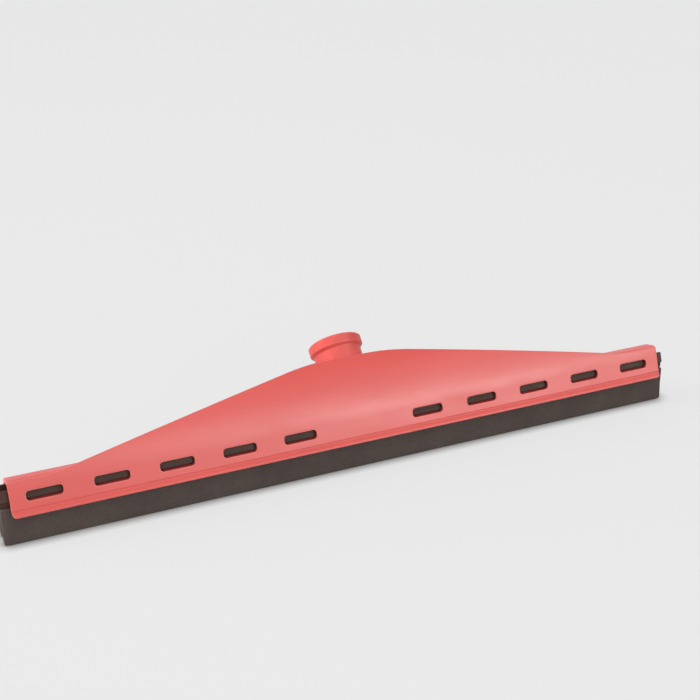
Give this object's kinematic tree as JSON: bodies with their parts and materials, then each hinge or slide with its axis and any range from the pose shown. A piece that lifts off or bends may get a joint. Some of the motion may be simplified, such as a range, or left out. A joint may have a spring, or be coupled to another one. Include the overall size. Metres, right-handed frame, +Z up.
{
  "type": "floor squeegee",
  "caption": "Floor squeegee head: moulded frame with a windowed channel, an arched sail and an inclined handle socket, holding a slide-in cassette of twin foam blades.",
  "frame": {"origin": "on the floor under the middle of the part's box, with the blades' lower edges on the floor", "axes": "+X along the blades, +Y to the handle side, +Z up"},
  "size_m": [0.5, 0.0726, 0.0851],
  "materials": {
    "frame_plastic": "coral-red moulded polypropylene, semi-matte",
    "rail_plastic": "black extruded plastic, matte",
    "foam_rubber": "brown-black cellular rubber, dull"
  },
  "bodies": {
    "frame": {"frame": "frame_plastic"},
    "cassette": {"carrier_rail": "rail_plastic", "front_blade": "foam_rubber", "rear_blade": "foam_rubber"}
  },
  "joints": [
    {"name": "cassette_slide", "type": "slide", "parent": "frame", "child": "cassette", "axis": [1, 0, 0], "range_m": [-0.494, 0.494]}
  ]
}
